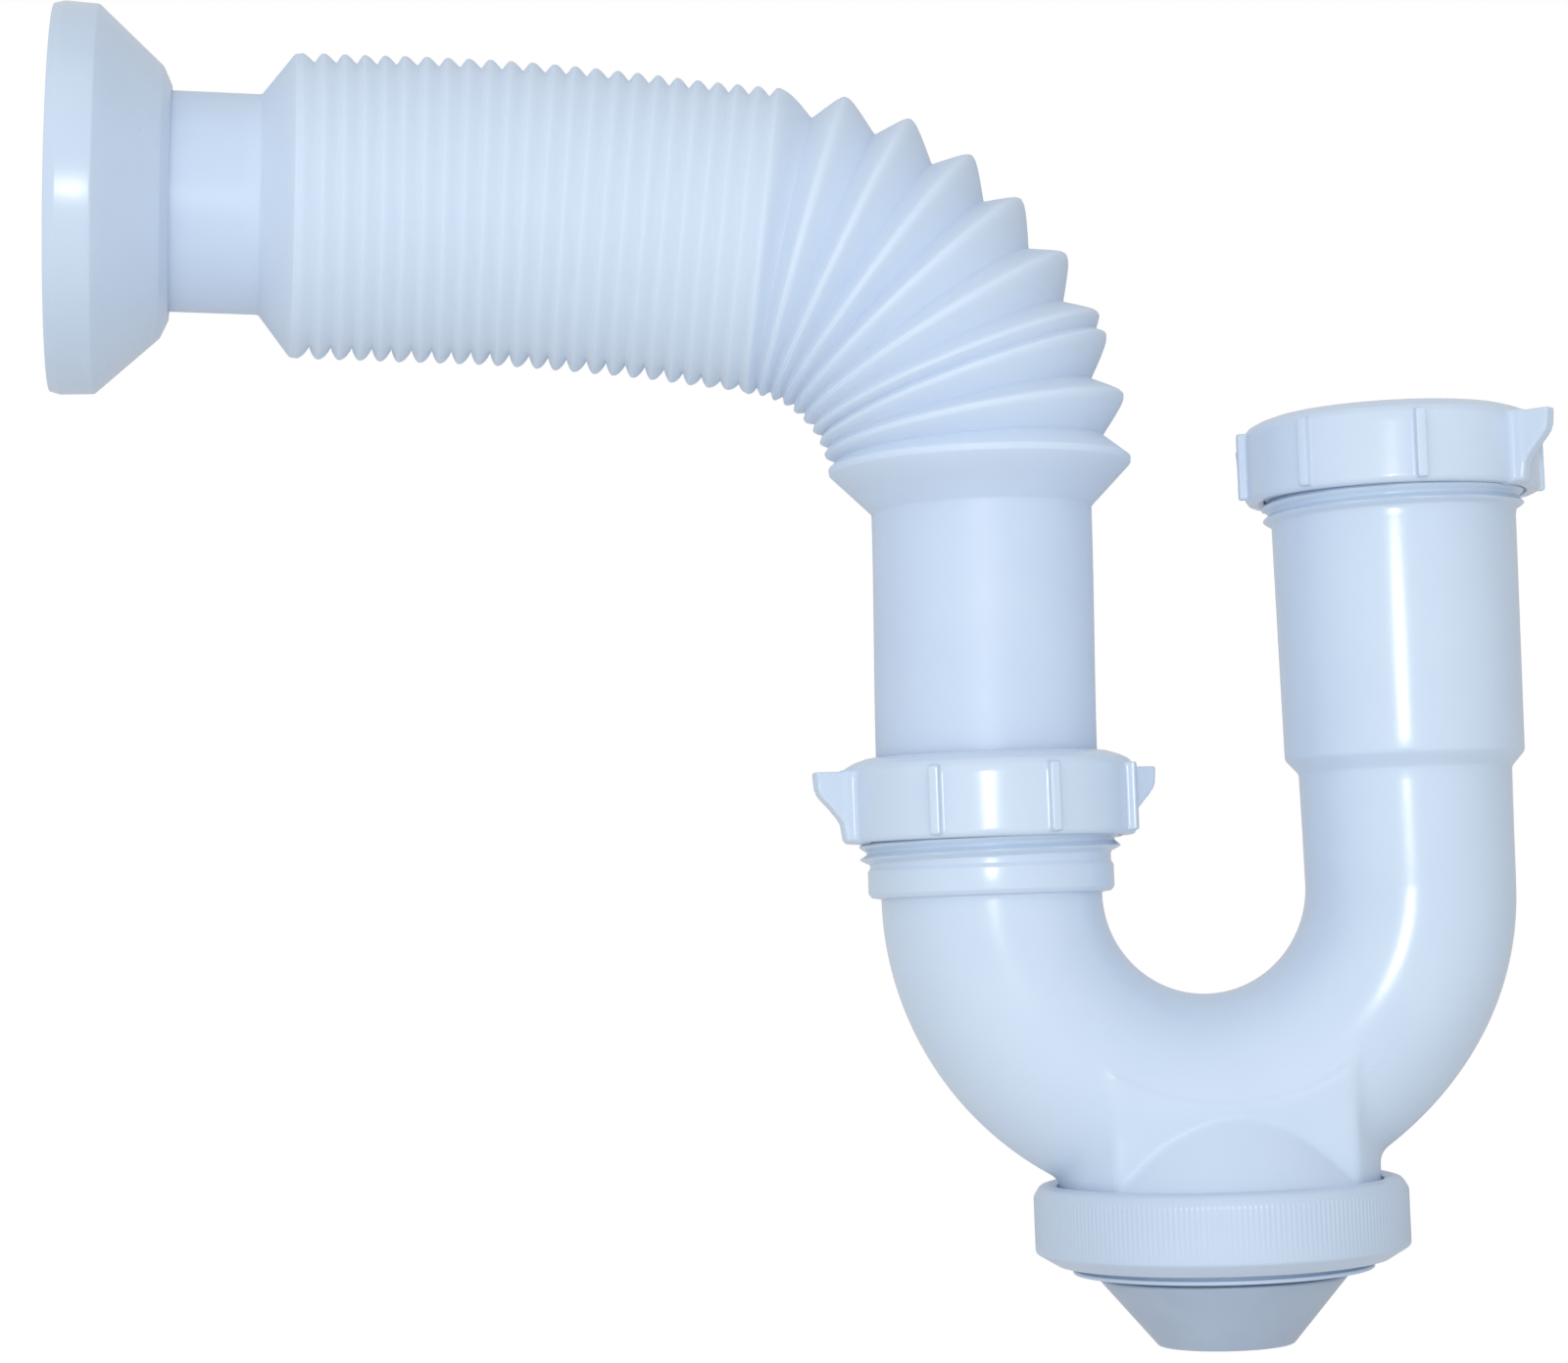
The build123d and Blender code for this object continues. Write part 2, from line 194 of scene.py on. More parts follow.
def polygon(px, py, pts):
    """Signed distance to a closed polygon, negative inside."""
    pts = np.asarray(pts, float)
    best = np.full(px.shape, 1e18)
    inside = np.zeros(px.shape, bool)
    for a, b in zip(pts, np.roll(pts, -1, 0)):
        e = b - a
        wx, wy = px - a[0], py - a[1]
        t = np.clip((wx * e[0] + wy * e[1]) / (e @ e), 0, 1)
        best = np.minimum(best, (wx - e[0] * t) ** 2 + (wy - e[1] * t) ** 2)
        if a[1] != b[1]:
            cross = ((a[1] > py) != (b[1] > py)) & (px < e[0] * (py - a[1]) / e[1] + a[0])
            inside ^= cross
    d = np.sqrt(best)
    return np.where(inside, -d, d)


def surface_nets(f, lo, counts, h, relax=3):
    """Quads on the zero level of f, over counts cells of size h from the corner lo."""
    lo = np.asarray(lo, float)
    n = [c + 1 for c in counts]
    ys, zs = lo[1] + h * np.arange(n[1]), lo[2] + h * np.arange(n[2])
    v = np.empty(n, np.float32)
    for i0 in range(0, n[0], 24):
        xs = lo[0] + h * np.arange(i0, min(i0 + 24, n[0]))
        x, y, z = np.meshgrid(xs, ys, zs, indexing="ij")
        v[i0:i0 + len(xs)] = f(x, y, z)
    s = v < 0
    total = np.zeros(counts, np.int8)
    for a in (0, 1):
        for b in (0, 1):
            for c in (0, 1):
                total += s[a:a + counts[0], b:b + counts[1], c:c + counts[2]]
    mask = (total > 0) & (total < 8)
    cell = np.argwhere(mask)
    index = np.full(counts, -1, np.int64)
    index[mask] = np.arange(len(cell))
    acc, num = np.zeros((len(cell), 3)), np.zeros(len(cell))
    for ax in range(3):
        e = np.zeros(3, int)
        e[ax] = 1
        others = [i for i in range(3) if i != ax]
        for du in (0, 1):
            for dw in (0, 1):
                a = cell.copy()
                a[:, others[0]] += du
                a[:, others[1]] += dw
                b = a + e
                va, vb = v[tuple(a.T)], v[tuple(b.T)]
                hit = (va < 0) != (vb < 0)
                t = np.where(hit, va / np.where(hit, va - vb, 1), 0)
                acc[hit] += a[hit] + t[hit][:, None] * e
                num[hit] += 1
    verts = lo + h * acc / num[:, None]
    quads = []
    for ax in range(3):
        u, w = (ax + 1) % 3, (ax + 2) % 3
        low = [slice(None)] * 3
        high = [slice(None)] * 3
        low[ax], high[ax] = slice(0, -1), slice(1, None)
        sa, sb = s[tuple(low)], s[tuple(high)]
        e = np.argwhere(sa != sb)
        keep = (e[:, u] >= 1) & (e[:, w] >= 1) & (e[:, u] <= n[u] - 2) & (e[:, w] <= n[w] - 2)
        e = e[keep]
        du, dw = np.zeros(3, int), np.zeros(3, int)
        du[u], dw[w] = 1, 1
        q = np.stack([index[tuple((e - du - dw).T)], index[tuple((e - dw).T)],
                      index[tuple(e.T)], index[tuple((e - du).T)]], 1)
        out = sa[tuple(e.T)]
        q[~out] = q[~out][:, ::-1]
        quads.append(q)
    quads = np.concatenate(quads)
    edges = np.concatenate([quads[:, [0, 1]], quads[:, [1, 2]], quads[:, [2, 3]], quads[:, [3, 0]]])
    key = np.sort(edges, 1)
    uniq, cnt = np.unique(key, axis=0, return_counts=True)
    rim = uniq[cnt == 1]
    free = np.ones(len(verts), bool)
    free[np.unique(rim)] = False

    def project(p, rounds):
        eps = 0.02
        for _ in range(rounds):
            d = f(p[:, 0], p[:, 1], p[:, 2])
            g = np.stack([
                f(p[:, 0] + eps, p[:, 1], p[:, 2]) - f(p[:, 0] - eps, p[:, 1], p[:, 2]),
                f(p[:, 0], p[:, 1] + eps, p[:, 2]) - f(p[:, 0], p[:, 1] - eps, p[:, 2]),
                f(p[:, 0], p[:, 1], p[:, 2] + eps) - f(p[:, 0], p[:, 1], p[:, 2] - eps)], 1) / (2 * eps)
            g2 = np.maximum((g * g).sum(1), 0.2)
            move = g * (d / g2)[:, None]
            size = np.linalg.norm(move, axis=1)
            move *= np.minimum(1.0, 0.4 * h / np.maximum(size, 1e-12))[:, None]
            p = p - move
        return p

    verts = project(verts, 2)
    for _ in range(relax):
        acc, num = np.zeros_like(verts), np.zeros(len(verts))
        for a, b in ((0, 1), (1, 0)):
            for k in range(3):
                acc[:, k] += np.bincount(uniq[:, a], verts[uniq[:, b], k], len(verts))
            num += np.bincount(uniq[:, a], minlength=len(verts))
        mean = acc / np.maximum(num, 1)[:, None]
        verts[free] += 0.5 * (mean - verts)[free]
        verts = project(verts, 1)
    verts = project(verts, 1)
    return verts, quads, rim


def loops(rim):
    """Closed loops from rim edges."""
    near = {}
    for a, b in rim.tolist():
        near.setdefault(a, []).append(b)
        near.setdefault(b, []).append(a)
    seen, out = set(), []
    for start in near:
        if start in seen:
            continue
        loop, at, last = [], start, None
        while at not in seen:
            seen.add(at)
            loop.append(at)
            nxt = [k for k in near[at] if k != last and k not in seen]
            last = at
            if not nxt:
                break
            at = nxt[0]
        out.append(loop)
    return out


def zip_rings(verts, a, b, cx):
    """Triangles between two loops of vertices round the same upright axis."""
    def ordered(ids):
        p = verts[ids]
        ang = np.arctan2(p[:, 1], p[:, 0] - cx)
        turn = np.unwrap(np.concatenate([ang, ang[:1]]))
        if turn[-1] < turn[0]:
            ids, ang = ids[::-1], ang[::-1]
        k = int(np.argmin(ang))
        ids, ang = np.roll(ids, -k), np.roll(ang, -k)
        ang = np.maximum.accumulate(np.unwrap(ang))
        return ids, ang

    ia, aa = ordered(np.asarray(a))
    ib, ab = ordered(np.asarray(b))
    aa, ab = np.append(aa, aa[0] + PI2), np.append(ab, ab[0] + PI2)
    faces, i, j = [], 0, 0
    while i < len(ia) or j < len(ib):
        if j >= len(ib) or (i < len(ia) and aa[i + 1] + aa[i] <= ab[j + 1] + ab[j]):
            faces.append([int(ia[i]), int(ia[(i + 1) % len(ia)]), int(ib[j % len(ib)])])
            i += 1
        else:
            faces.append([int(ia[i % len(ia)]), int(ib[(j + 1) % len(ib)]), int(ib[j])])
            j += 1
    return faces


def ridge(theta, z, pitch, z_ref, start=None, width=0.84):
    """0 to 1: height of a right-hand thread's ridge. Its crest passes z_ref at the front (-Y),
    and it runs out where its crest comes down to start."""
    lead = (theta + math.pi / 2) / PI2
    turns = (z - z_ref) / pitch - lead
    near = np.round(turns)
    t = np.clip(1.0 - np.abs(turns - near) / (width / 2), 0, 1)
    t = t - 0.12 * t ** 6
    if start is not None:
        t = t * step(start, start + 0.45, z_ref + pitch * (near + lead))
    return t


def step(a, b, x):
    t = np.clip((x - a) / (b - a), 0, 1)
    return t * t * (3 - 2 * t)


# ================================================================ materials
def plastic(name, base, rough, tint=0.022, peel=0.015, cells=45.0, ior=1.46, sss=0.0, uneven=0.015):
    """Moulded plastic: faint cloudy tint, slightly uneven gloss and a fine orange-peel bump."""
    mat = bpy.data.materials.new(name)
    mat.use_nodes = True
    nt = mat.node_tree
    nodes, link = nt.nodes, nt.links.new
    bsdf = nodes["Principled BSDF"]
    bsdf.inputs["IOR"].default_value = ior
    if sss:
        bsdf.inputs["Subsurface Weight"].default_value = sss
        bsdf.inputs["Subsurface Scale"].default_value = 0.003
        bsdf.inputs["Subsurface Radius"].default_value = (0.9, 1.0, 1.1)
    tc = nodes.new("ShaderNodeTexCoord")
    cloud = nodes.new("ShaderNodeTexNoise")
    cloud.inputs["Scale"].default_value = cells
    cloud.inputs["Detail"].default_value = 3.0
    cloud.inputs["Roughness"].default_value = 0.5
    link(tc.outputs["Object"], cloud.inputs["Vector"])
    ramp = nodes.new("ShaderNodeValToRGB")
    lo = [c * (1 - tint * w) for c, w in zip(base, (1.3, 1.0, 0.8))]
    hi = [min(1.0, c * (1 + tint * w)) for c, w in zip(base, (0.8, 0.7, 0.5))]
    ramp.color_ramp.elements[0].position, ramp.color_ramp.elements[0].color = 0.32, (*lo, 1)
    ramp.color_ramp.elements[1].position, ramp.color_ramp.elements[1].color = 0.70, (*hi, 1)
    link(cloud.outputs["Fac"], ramp.inputs["Fac"])
    link(ramp.outputs["Color"], bsdf.inputs["Base Color"])
    fine = nodes.new("ShaderNodeTexNoise")
    fine.inputs["Scale"].default_value = 160.0
    fine.inputs["Detail"].default_value = 2.0
    link(tc.outputs["Object"], fine.inputs["Vector"])
    span = nodes.new("ShaderNodeMapRange")
    span.inputs["From Min"].default_value, span.inputs["From Max"].default_value = 0.3, 0.7
    span.inputs["To Min"].default_value, span.inputs["To Max"].default_value = rough - uneven, rough + uneven
    link(fine.outputs["Fac"], span.inputs["Value"])
    link(span.outputs["Result"], bsdf.inputs["Roughness"])
    grain = nodes.new("ShaderNodeTexNoise")
    grain.inputs["Scale"].default_value = 900.0
    grain.inputs["Detail"].default_value = 2.0
    link(tc.outputs["Object"], grain.inputs["Vector"])
    bump = nodes.new("ShaderNodeBump")
    bump.inputs["Strength"].default_value = peel
    bump.inputs["Distance"].default_value = 0.0004
    link(grain.outputs["Fac"], bump.inputs["Height"])
    link(bump.outputs["Normal"], bsdf.inputs["Normal"])
    return mat


def paint_light_where_marked(mat, colour, rough):
    """Painted light and a duller finish where the mesh's bellows mark is 1: a lighter base colour that lifts the shade
    in the folds, and a higher roughness.
    """
    nodes, link = mat.node_tree.nodes, mat.node_tree.links.new
    bsdf = nodes["Principled BSDF"]
    mark = nodes.new("ShaderNodeAttribute")
    mark.attribute_name = "painted_light_bellows"
    for socket, kind in (("Base Color", "RGBA"), ("Roughness", "FLOAT")):
        old = bsdf.inputs[socket].links[0].from_socket
        mix = nodes.new("ShaderNodeMix")
        mix.data_type = kind
        a, b = [s for s in mix.inputs if s.enabled and s.name in ("A", "B")]
        link(mark.outputs["Fac"], mix.inputs["Factor"])
        link(old, a)
        b.default_value = (*colour, 1) if kind == "RGBA" else rough
        link([s for s in mix.outputs if s.enabled][0], bsdf.inputs[socket])


def duller_below(mat, high, low, rough):
    """The mould's duller finish under the bend: roughness grows to rough between two heights (m)."""
    nodes, link = mat.node_tree.nodes, mat.node_tree.links.new
    bsdf = nodes["Principled BSDF"]
    old = bsdf.inputs["Roughness"].links[0].from_socket
    tc = nodes.new("ShaderNodeTexCoord")
    sep = nodes.new("ShaderNodeSeparateXYZ")
    link(tc.outputs["Object"], sep.inputs["Vector"])
    span = nodes.new("ShaderNodeMapRange")
    span.interpolation_type = "SMOOTHSTEP"
    span.inputs["From Min"].default_value, span.inputs["From Max"].default_value = low, high
    span.inputs["To Min"].default_value, span.inputs["To Max"].default_value = 1.0, 0.0
    link(sep.outputs["Z"], span.inputs["Value"])
    mix = nodes.new("ShaderNodeMix")
    link(span.outputs["Result"], mix.inputs["Factor"])
    link(old, mix.inputs["A"])
    mix.inputs["B"].default_value = rough
    link(mix.outputs["Result"], bsdf.inputs["Roughness"])


BODY = plastic("body_plastic", (0.565, 0.68, 0.83), 0.22)
duller_below(BODY, -0.106, -0.122, 0.42)
NUT = plastic("nut_plastic", (0.575, 0.685, 0.83), 0.22)
RING = plastic("ring_plastic", (0.52, 0.63, 0.78), 0.30)
HOSE = plastic("hose_plastic", (0.56, 0.675, 0.855), 0.42, peel=0.03, ior=1.40, sss=0.35)
# painted light: the bellows' lighter base colour lifts the shade in their folds; the higher roughness is their finish
paint_light_where_marked(HOSE, (0.60, 0.72, 0.90), 0.55)
FLANGE = plastic("flange_plastic", (0.55, 0.66, 0.81), 0.26)
CUP = plastic("cup_plastic", (0.385, 0.47, 0.60), 0.33, tint=0.04, cells=110.0)
RUBBER = plastic("seal_rubber", (0.085, 0.095, 0.11), 0.62, tint=0.10, peel=0.15, ior=1.4, uneven=0.05)

# ================================================================ trap body
BEND_R, BEND_Z = 38.4, -79.3
OUT_X, OUT_Z = -76.8, -59.4
CLEAN_X = -37.4
PITCH_G = 2.309
THREAD_IN, THREAD_OUT = -11.05, -11.6       # where the last ridges pass the front, below the mouths
JOIN_HIGH, JOIN_LOW = -79.45, -134.0
H_BODY = (JOIN_HIGH - JOIN_LOW) / 68.5


def tube_parts(x, y, z):
    """Distance to the U's centreline, and the outside radius there."""
    low = z < BEND_Z
    t = np.where(low, 1 - np.arctan2(BEND_Z - z, x + BEND_R) / math.pi, np.where(x > -BEND_R, 1.0, 0.0))
    drawn = np.exp(-((t - 0.72) / 0.15) ** 2)   # the bend is a little slimmer towards the inlet leg
    q = np.where(low, np.hypot(x + BEND_R, z - BEND_Z) - (BEND_R - 0.5 * drawn),
                 np.minimum(np.abs(x), np.abs(x + 2 * BEND_R)))
    return np.hypot(q, y), 20.0 + 0.05 * t - 1.10 * t * t - 0.5 * drawn


def body_field(x, y, z):
    d, r_out = tube_parts(x, y, z)
    tube = d - r_out
    rho = np.hypot(x - CLEAN_X, y)
    arc = np.hypot(x + BEND_R, z - BEND_Z)
    slab = smax(rho - 28.9, np.abs(y) - 19.5, 1.0)
    slab = np.maximum(np.maximum(slab, np.maximum(BEND_R - arc, z + 100.0)), -131.4 - z)
    cone = (rho - np.interp(z, [-132.0, -114.0], [29.0, 16.1])) * np.where((z < -114) & (z > -132), 0.82, 1.0)
    cone = np.maximum(cone, z + 114.0)
    outer = smin(smin(tube, slab, 1.8), cone, 0.35)
    slab_in = np.maximum(np.maximum(rho - 25.9, np.abs(y) - 17.4), np.maximum(BEND_R + 2.0 - arc, z + 100.0))
    cone_in = np.maximum((rho - np.interp(z, [-132.6, -115.5], [25.9, 14.2])) * 0.82, z + 115.5)
    inner = smin(smin(d - 17.4, slab_in, 0.6), cone_in, 0.6)
    return np.maximum(outer, -inner)


def threaded_end(outer, inner, cx, cz, segments, thread_z, crest, pitch, z_ref, start):
    """Rows of a pipe end, from the foot of its outside over the mouth to the foot of its bore."""
    low, high = thread_z

    def bump(th, r, z):
        if not low - 0.01 <= z <= high + 0.01 or r < crest - 2.1:
            return np.zeros_like(th)
        return ridge(th, z, pitch, z_ref, start) * (crest - r) * (1 - step(high - 1.0, high, z))

    rows = rounded(outer, close=False)
    fine = []
    for a, b in zip(rows[:-1], rows[1:]):
        inside = min(a[1], b[1]) >= low - 0.6 and max(a[1], b[1]) <= high + 0.6
        gap = 0.21 if inside and abs(a[0] - b[0]) < 1.0 else 2.2
        k = max(1, int(math.ceil(math.hypot(b[0] - a[0], b[1] - a[1]) / gap)))
        fine += [(a[0] + (b[0] - a[0]) * j / k, a[1] + (b[1] - a[1]) * j / k) for j in range(k)]
    fine.append(rows[-1])
    fine += spaced(rounded(inner, close=False), 4.0, close=False)
    verts, faces = turned(fine, segments, cx, cz, closed=False, bump=bump)
    return verts, faces, len(fine)


def make_trap_body():
    lo = (-100.0, -32.0, JOIN_LOW - H_BODY / 2)
    counts = [int(124 / H_BODY), int(64 / H_BODY) + 1, 69]
    verts, quads, rim = surface_nets(body_field, lo, counts, H_BODY)
    faces = quads.tolist()
    seg = 160
    ends = [
        # inlet leg and its long sleeve
        threaded_end(
            [(18.95, -79.35), (19.05, -70.0), (19.25, -58.6, 1.3), (21.65, -55.9, 1.5), (22.15, -14.0),
             (22.15, -12.7), (22.7, -10.0), (22.8, -8.5), (22.8, -0.3), (22.5, 0.0)],
            [(21.6, 0.0), (20.3, -2.2, 0.5), (20.3, -53.6, 0.3), (17.4, -56.8, 0.5), (17.4, -79.35)],
            0.0, 0.0, seg, (-12.9, -0.5), 23.9, PITCH_G, THREAD_IN, -12.3),
        # outlet arm with its short socket and the plain band under the thread
        threaded_end(
            [(20.0, -19.95), (20.05, -19.45, 0.15), (21.7, -19.2, 0.4), (22.3, -18.4, 0.5), (22.3, -14.5, 0.5),
             (21.85, -13.8, 0.3), (21.85, -12.5, 0.3), (22.6, -10.4), (22.7, -9.0), (22.7, -0.3), (22.4, 0.0)],
            [(21.6, 0.0), (20.3, -2.2, 0.5), (20.3, -15.0, 0.3), (17.4, -18.0, 0.5), (17.4, -19.95)],
            OUT_X, OUT_Z, seg, (-13.7, -0.5), 23.9, PITCH_G, THREAD_OUT, -13.3),
        # cleanout boss, drawn foot up
        threaded_end(
            [(29.0, -134.95), (29.0, -135.6, 0.2), (28.45, -136.1, 0.2), (28.45, -140.7), (28.2, -141.0)],
            [(26.2, -141.0), (25.9, -140.7), (25.9, -134.95)],
            CLEAN_X, 0.0, seg, (-140.6, -136.2), 29.3, 3.0, -138.0, None),
    ]
    all_verts, first = [verts], len(verts)
    feet = []
    for v, f, rows in ends:
        all_verts.append(v)
        faces += [[k + first for k in face] for face in f]
        feet.append((first, first + (rows - 1) * seg))
        first += len(v)
    allv = np.concatenate(all_verts)
    for loop in loops(rim):
        c = verts[loop].mean(0)
        r = np.hypot(verts[loop][:, 0] - c[0], verts[loop][:, 1]).mean()
        if c[2] > -100:
            which = 0 if c[0] > -BEND_R else 1
            outer = r > 18.0
            cx = 0.0 if which == 0 else OUT_X
        else:
            which, outer, cx = 2, r > 27.0, CLEAN_X
        start = feet[which][0] if outer else feet[which][1]
        faces += zip_rings(allv, loop, list(range(start, start + seg)), cx)
    ob = piece("trap_moulding", allv, faces, BODY, angle=50)
    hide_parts("trap_body", "inlet_sleeve")
    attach(ob, "trap")
    return ob


# ================================================================ slip nuts
def make_nut(name, cx, cz, rib_deg, wing_deg, node, body, z_ref, drop=0.0):
    rib_a, wing_a = math.radians(rib_deg), math.radians(wing_deg)
    rd = 0.5
    shell = [(0, 6.2), (22.0, 6.2), (24.0, 5.55), (25.5, 4.75), (26.05, 3.9), (26.2, 2.8),
             (26.2, -7.6), (25.9, -8.0), (0, -8.0)]
    fin = [(22.0, 3.85), (33.65, 3.85), (33.45, 1.3), (33.1, 0.3), (32.3, -0.7), (31.1, -1.9), (29.4, -3.9),
           (28.6, -5.0), (28.0, -7.8), (22.0, -8.0)]

    def field(x, y, z):
        x, z = x - cx, z - cz
        low = z + drop
        r = np.hypot(x, y)
        th = np.arctan2(y, x)
        out = polygon(r, low, shell) - rd
        # angle measured from the front (-Y) towards +X
        a = th + math.pi / 2
        s = (a - rib_a + math.pi / 8) % (math.pi / 4) - math.pi / 8
        px, py = r * np.cos(s), r * np.sin(s)
        rib = np.stack([np.abs(px - 26.0) - 1.9, np.abs(py) - 0.58, np.abs(low + 1.85) - 5.75])
        rib = np.linalg.norm(np.maximum(rib, 0), axis=0) + np.minimum(rib.max(0), 0) - 0.35
        out = smin(out, rib, 0.4)
        s = (a - wing_a + math.pi / 2) % math.pi - math.pi / 2
        px, py = r * np.cos(s), r * np.sin(s)
        w = np.stack([polygon(px, low, fin), np.abs(py) - 1.0])
        w = np.linalg.norm(np.maximum(w, 0), axis=0) + np.minimum(w.max(0), 0) - 0.35
        out = smin(out, w, 1.4)
        gate = step(-8.4, -7.9, low) * (1 - step(-2.6, -1.6, z))
        cavity = np.maximum(r - (24.15 - 1.2 * gate * ridge(th, z, PITCH_G, z_ref + PITCH_G / 2)), z - 3.2)
        out = np.maximum(out, -cavity)
        return smax(out, 20.9 - r, 0.5)

    h = 0.41
    lo = (cx - 36.2, -36.2, cz - 9.5)
    verts, quads, _ = surface_nets(field, lo, [int(72.4 / h) + 1, int(72.4 / h) + 1, int(17.0 / h) + 1], h, relax=2)
    ob = piece(name, verts, quads.tolist(), NUT, angle=42)
    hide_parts(node)
    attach(ob, body)
    return ob


# ================================================================ cleanout
def make_ring_nut():
    teeth, per = 222, 4
    prof = [(29.35, -131.75, 0.3), (31.0, -131.3, 0.8), (32.6, -131.75, 1.6), (33.7, -133.6, 1.6), (33.7, -143.6, 0.8),
            (29.9, -145.9, 0.4), (25.9, -145.9, 0.1), (25.9, -146.8, 0.1), (27.1, -146.9, 0.2),
            (27.1, -147.6, 0.3), (22.9, -147.6, 0.25),
            (22.9, -144.4), (28.1, -144.4), (28.1, -142.9), (30.25, -142.0)]
    rows = rounded(prof, step=0.3)
    fine = spaced(rows, 3.4, close=False)
    inner = [(30.25, -142.0 + 0.25 * k) for k in range(1, 41)]
    fine += [p for p in inner if p[1] < -133.0] + [(30.25, -132.9), (29.35, -132.45)]

    def bump(th, r, z):
        if r > 33.5 and -143.0 < z < -133.4:
            return -0.065 * (1 - np.cos(teeth * th)) * np.ones_like(th)
        if r > 32.3 and -134.0 < z <= -133.4:
            return -0.03 * (1 - np.cos(teeth * th))
        if abs(r - 30.25) < 1e-6 and -141.5 < z < -132.95:
            return -1.1 * ridge(th, z, 3.0, -138.0 + 1.5)
        return np.zeros_like(th)

    verts, faces = turned(fine, teeth * per, CLEAN_X, 0.0, True, bump)
    ob = piece("ring_nut", verts, faces, RING, angle=48)
    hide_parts("cleanout_ring_nut")
    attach(ob, "cleanout_nut")
    return ob


def make_cup():
    prof = [(0, -160.8), (12.25, -160.8, 0.45), (22.35, -148.9, 0.3), (22.2, -148.5, 0.2), (21.6, -148.3, 0.1),
            (21.6, -144.4, 0.15), (27.6, -144.4, 0.2), (27.6, -143.4, 0.15), (19.9, -143.4, 0.3),
            (19.9, -149.2, 1.0), (10.6, -159.0, 1.0), (0, -159.0)]
    rows = spaced(rounded(prof, step=0.2, close=False), 2.5, close=False)
    verts, faces = turned(rows, 192, CLEAN_X, 0.0, False)
    ob = piece("cup_cone", verts, faces, CUP, angle=48)
    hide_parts("cleanout_cup")
    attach(ob, "cleanout")
    return ob


# ================================================================ flexible hose
CRESTS = [
    (-198.6, 50.8, 2.4, 27.5), (-194.6, 50.65, 2.4, 27.6), (-190.8, 50.5, 2.4, 27.6),
    (-187.1, 50.35, 2.4, 27.6), (-183.5, 50.2, 2.5, 27.65), (-180.0, 50.05, 2.6, 27.7),
    (-176.1, 49.9, 2.8, 27.7), (-172.4, 49.7, 3.1, 27.7), (-168.7, 49.5, 3.5, 27.7),
    (-165.0, 49.3, 3.9, 27.7), (-161.4, 49.0, 4.3, 27.7), (-157.7, 48.7, 4.8, 27.7),
    (-153.8, 48.3, 5.3, 27.7), (-150.3, 47.9, 5.7, 27.7), (-146.7, 47.5, 6.1, 27.7),
    (-142.8, 47.0, 6.4, 27.7), (-139.3, 46.6, 6.6, 27.7), (-135.6, 46.1, 6.8, 27.7),
    (-132.1, 45.6, 6.9, 27.7), (-128.5, 45.05, 7.0, 27.75), (-125.0, 44.5, 7.2, 27.8),
    (-121.6, 44.0, 7.3, 27.85), (-118.1, 43.5, 7.5, 27.9), (-114.7, 43.0, 8.0, 28.0),
    (-107.3, 41.6, 17.4, 28.2), (-100.3, 38.9, 27.9, 28.3), (-93.8, 34.8, 39.0, 28.2),
    (-88.6, 29.8, 49.2, 28.1), (-83.8, 23.6, 60.2, 28.1), (-80.3, 17.0, 70.0, 28.0),
    (-79.2, 14.1, 71.9, 27.8), (-77.4, 7.2, 81.0, 27.7),
]
ROOTS = [
    (-196.6, 50.75, 2.4, 25.5), (-192.7, 50.6, 2.4, 25.5), (-189.0, 50.45, 2.4, 25.5),
    (-185.3, 50.3, 2.45, 25.55), (-181.7, 50.1, 2.55, 25.6), (-178.0, 50.0, 2.7, 25.6),
    (-174.3, 49.8, 2.9, 25.6), (-170.6, 49.6, 3.3, 25.6), (-166.9, 49.4, 3.7, 25.6),
    (-163.2, 49.15, 4.1, 25.6), (-159.5, 48.85, 4.5, 25.6), (-155.8, 48.5, 5.0, 25.6),
    (-152.0, 48.1, 5.5, 25.6), (-148.5, 47.7, 5.9, 25.6), (-144.8, 47.25, 6.2, 25.6),
    (-141.1, 46.8, 6.5, 25.6), (-137.5, 46.35, 6.7, 25.6), (-133.8, 45.85, 6.8, 25.6),
    (-130.3, 45.3, 6.9, 25.6), (-126.8, 44.8, 7.1, 25.65), (-123.3, 44.25, 7.2, 25.7),
    (-119.8, 43.75, 7.4, 25.8), (-116.4, 43.25, 7.7, 25.9),
    (-110.8, 40.9, 13.2, 24.8), (-103.8, 38.6, 24.0, 24.9), (-97.5, 35.1, 34.9, 24.7),
    (-91.8, 30.7, 45.7, 24.7), (-86.9, 25.2, 56.5, 24.8), (-83.1, 19.0, 66.6, 24.8),
    (-79.6, 15.3, 71.4, 26.4), (-79.6, 9.5, 78.0, 24.3), (-78.2, 2.9, 87.0, 24.1),
]
BOW = [(-76.8, -2.0), (-110.0, -2.0), (-125.0, -1.2), (-153.0, 1.0), (-201.0, 6.5), (-260.0, 6.5)]
TIGHT = 23          # folds up to this crest are pushed together


def bow_angle(x):
    for (xa, a), (xb, b) in zip(BOW[:-1], BOW[1:]):
        if xb <= x <= xa:
            return a + (b - a) * (xa - x) / (xa - xb)
    return BOW[0][1] if x > BOW[0][0] else BOW[-1][1]


def bow_y(x):
    y, t = 0.0, BOW[0][0]
    if x >= t:
        return (t - x) * math.tan(math.radians(2.0)) * -1.0
    while t - x > 1e-9:
        s = min(0.5, t - x)
        y -= s * math.tan(math.radians(bow_angle(t - s / 2)))
        t -= s
    return y


def axis_at(x, tilt):
    a, b = math.radians(bow_angle(x)), math.radians(tilt)
    return np.array([-math.cos(b) * math.cos(a), -math.cos(b) * math.sin(a), math.sin(b)])


FAR_O = np.array([CRESTS[0][0], bow_y(CRESTS[0][0]), CRESTS[0][1]])
FAR_A = axis_at(-202.0, 2.4)


